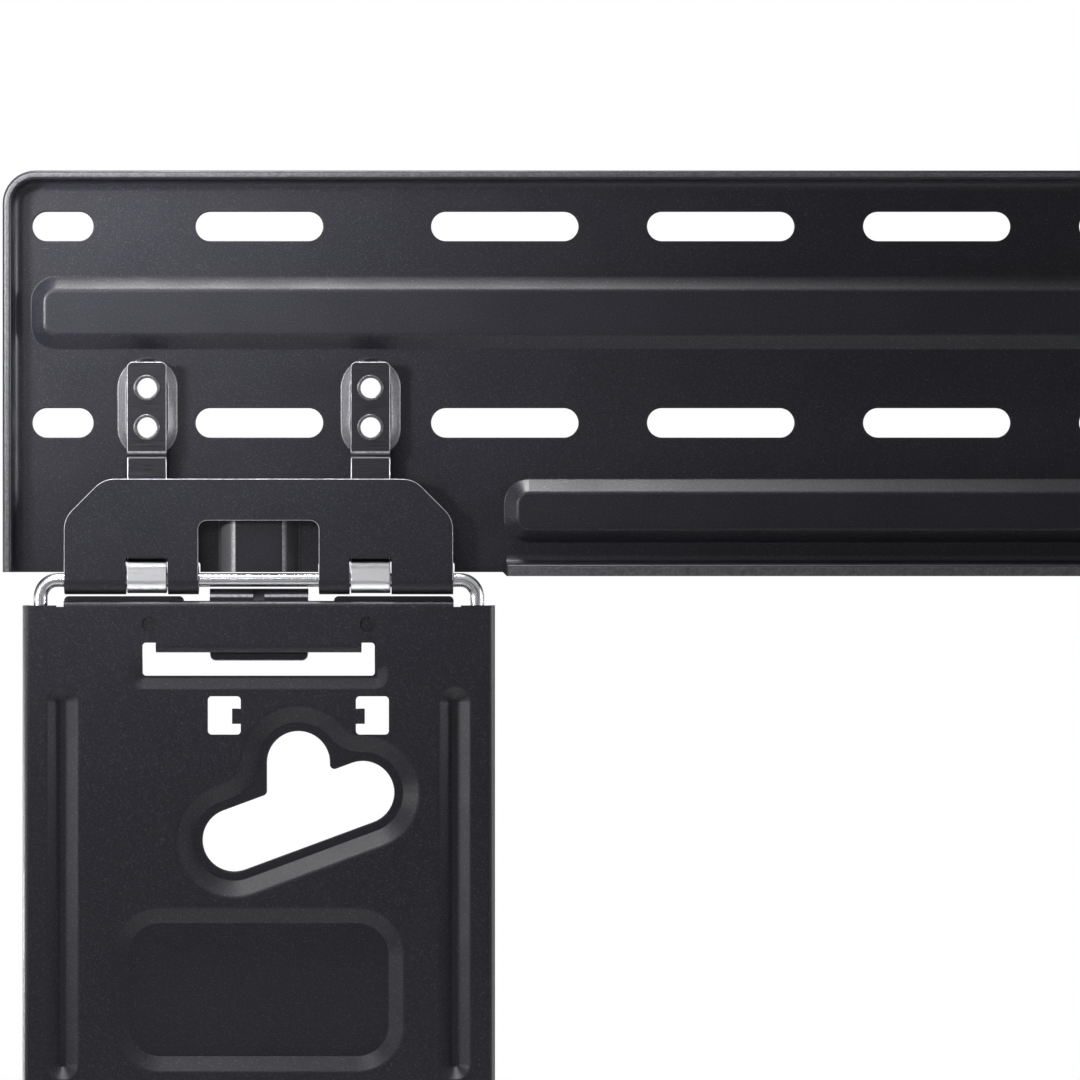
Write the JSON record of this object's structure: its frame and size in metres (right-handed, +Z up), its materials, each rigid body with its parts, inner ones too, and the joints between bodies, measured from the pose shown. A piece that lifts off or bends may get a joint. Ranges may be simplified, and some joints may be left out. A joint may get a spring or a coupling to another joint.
{
  "type": "fixed tv wall bracket",
  "caption": "Pressed steel wall plate with slotted screw rows and hinged keyhole arms that hang a flat screen close to a wall.",
  "frame": {"origin": "on the wall plane, at the middle of the plate, half way between its two slot rows", "axes": "+X along the plate to the viewer's right, +Y into the wall, +Z up"},
  "size_m": [0.53, 0.0078, 0.24],
  "materials": {
    "black_powder_coat": "fine-grained semi-matt powder coat",
    "strap_steel": "satin dark steel, bare where it is rolled round the wire",
    "eyelet_steel": "dark satin",
    "zinc_wire": "bright zinc plate"
  },
  "bodies": {
    "root": {"wall_plate": "black_powder_coat", "left_hinge_leaf": "black_powder_coat", "left_outer_strap": "strap_steel", "left_outer_upper_eyelet": "eyelet_steel", "left_outer_lower_eyelet": "eyelet_steel", "left_inner_strap": "strap_steel", "left_inner_upper_eyelet": "eyelet_steel", "left_inner_lower_eyelet": "eyelet_steel", "right_hinge_leaf": "black_powder_coat", "right_outer_strap": "strap_steel", "right_outer_upper_eyelet": "eyelet_steel", "right_outer_lower_eyelet": "eyelet_steel", "right_inner_strap": "strap_steel", "right_inner_upper_eyelet": "eyelet_steel", "right_inner_lower_eyelet": "eyelet_steel"},
    "left_arm": {"left_arm_plate": "black_powder_coat", "left_wire_bail": "zinc_wire", "left_head_bracket": "black_powder_coat"},
    "right_arm": {"right_arm_plate": "black_powder_coat", "right_wire_bail": "zinc_wire", "right_head_bracket": "black_powder_coat"}
  },
  "joints": [
    {"name": "left_arm_hinge", "type": "hinge", "parent": "root", "child": "left_arm", "pos_m": [-0.2, -0.00415, -0.065], "axis": [-1, 0, 0], "range_deg": [0, 15]},
    {"name": "right_arm_hinge", "type": "hinge", "parent": "root", "child": "right_arm", "pos_m": [0.2, -0.00415, -0.065], "axis": [-1, 0, 0], "range_deg": [0, 15]}
  ]
}
